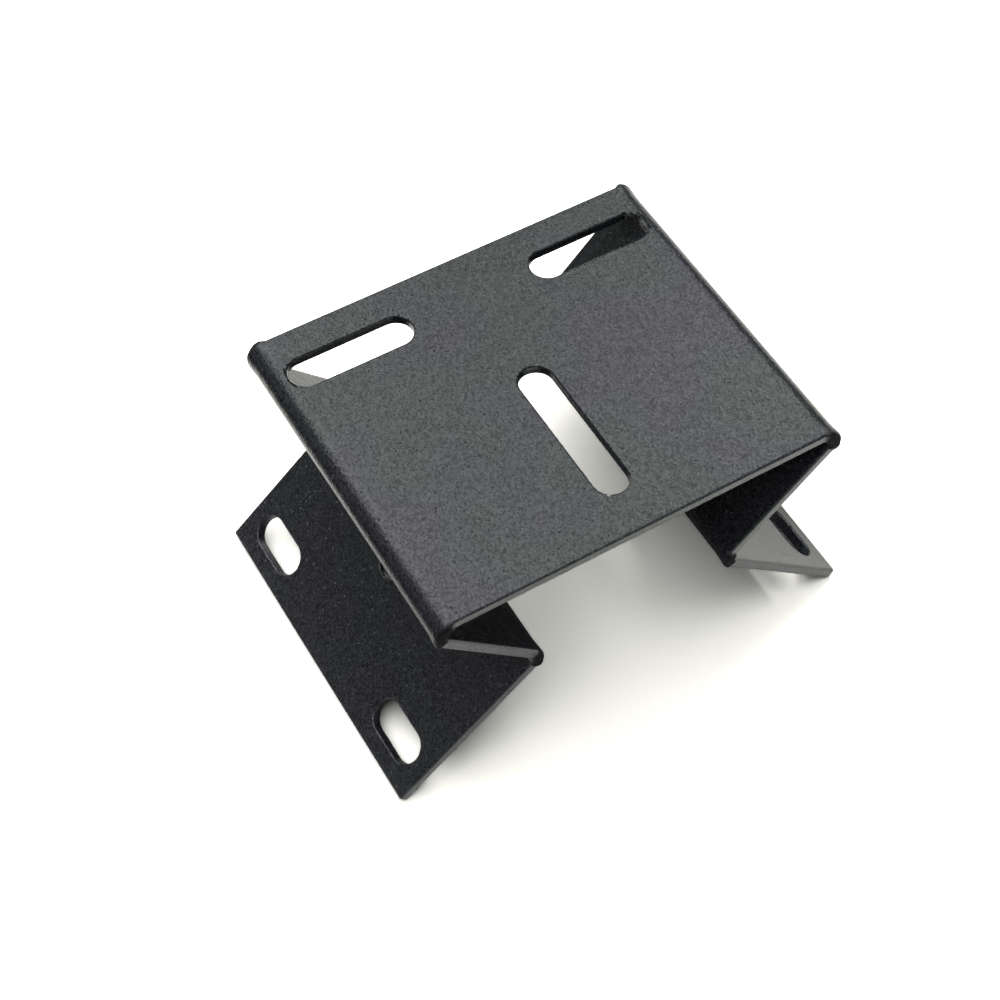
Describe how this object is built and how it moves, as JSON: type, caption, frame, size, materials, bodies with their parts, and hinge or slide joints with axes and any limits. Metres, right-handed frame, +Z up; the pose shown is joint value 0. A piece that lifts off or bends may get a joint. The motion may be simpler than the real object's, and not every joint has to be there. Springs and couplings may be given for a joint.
{
  "type": "camera mounting bracket",
  "caption": "Folded steel sheet bracket: a slotted flat plate over folded-in webs and sloping slotted feet, for fixing a camera on an outside wall corner or a square post.",
  "frame": {"origin": "on the surface it stands on, under the middle of the camera plate", "axes": "+X to the right across the plate, +Y from the front edge to the rear edge along the folds, +Z up out of the camera plate"},
  "size_m": [0.0964, 0.0672, 0.0537],
  "materials": {
    "powder_coat": "fine textured black powder coat, satin"
  },
  "bodies": {
    "root": {"bracket": "powder_coat"}
  },
  "joints": []
}
